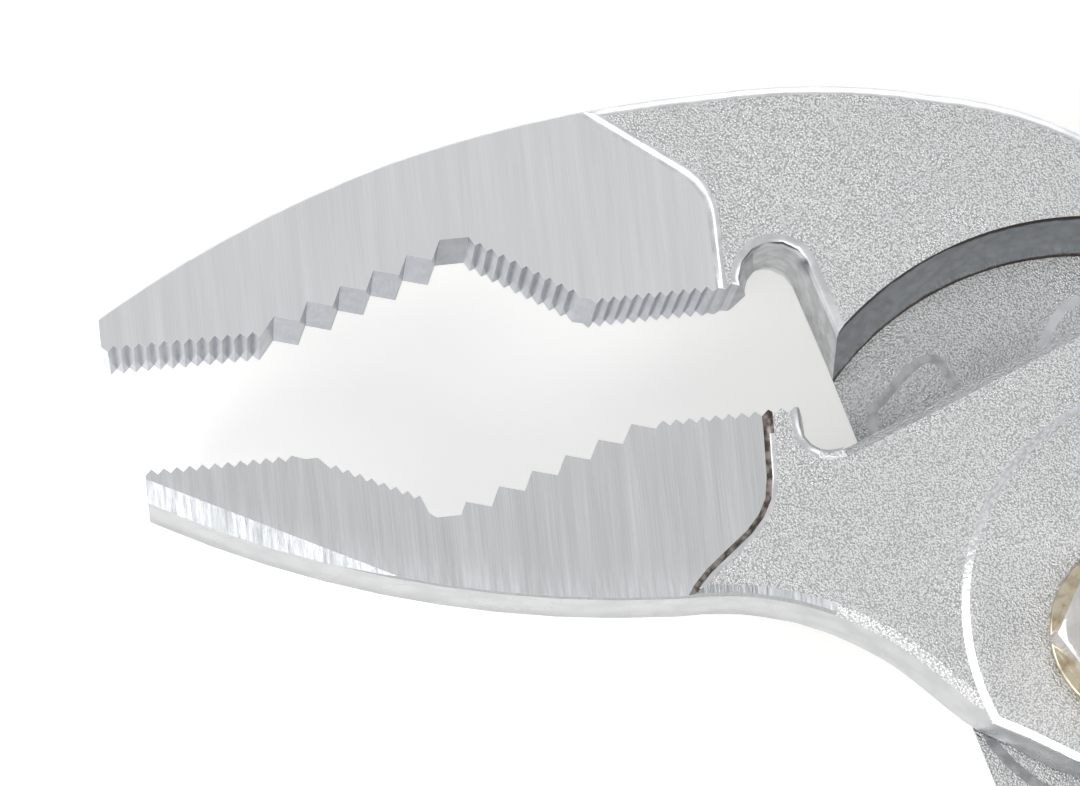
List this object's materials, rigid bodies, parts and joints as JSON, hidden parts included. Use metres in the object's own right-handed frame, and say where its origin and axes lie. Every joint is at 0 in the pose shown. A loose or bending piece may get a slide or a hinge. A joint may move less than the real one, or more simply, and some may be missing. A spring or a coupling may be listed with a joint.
{
  "type": "slip joint pliers",
  "caption": "Slip joint pliers of forged steel: curved toothed jaws with ground cheeks, a two position bolted pivot and long bare handles",
  "frame": {"origin": "on the pivot axis in the wide position, in the flat outer face of the bolt's head at the back", "axes": "+X along the tooth lines from the jaw tips to the handles, +Y toward the upper jaw, +Z along the pivot from the bolt's head to the nut"},
  "size_m": [0.1971, 0.1206, 0.0185],
  "materials": {
    "rear_forging": "satin plate with a fine cast grain, jaw cheeks ground bright",
    "front_forging": "satin plate with a fine cast grain, jaw cheek ground bright",
    "bolt_steel": "turned and plated",
    "nut_plate": "polished nickel plate",
    "washer_plate": "zinc plate with a warm tint",
    "washer_steel": "plain rolled steel"
  },
  "bodies": {
    "rear_half": {"rear_half": "rear_forging"},
    "slip_washer": {"friction_washer": "washer_steel"},
    "front_half": {"front_half": "front_forging", "pivot_bolt": "bolt_steel", "pivot_nut": "nut_plate", "nut_washer": "washer_plate"}
  },
  "joints": [
    {"name": "slip", "type": "slide", "parent": "rear_half", "child": "slip_washer", "axis": [-0.2622, 0.965, 0], "range_m": [0, 0.0056]},
    {"name": "jaw_pivot", "type": "hinge", "parent": "slip_washer", "child": "front_half", "pos_m": [0, 0, 0.0083], "axis": [0, 0, 1], "range_deg": [-1.8, 26]}
  ]
}
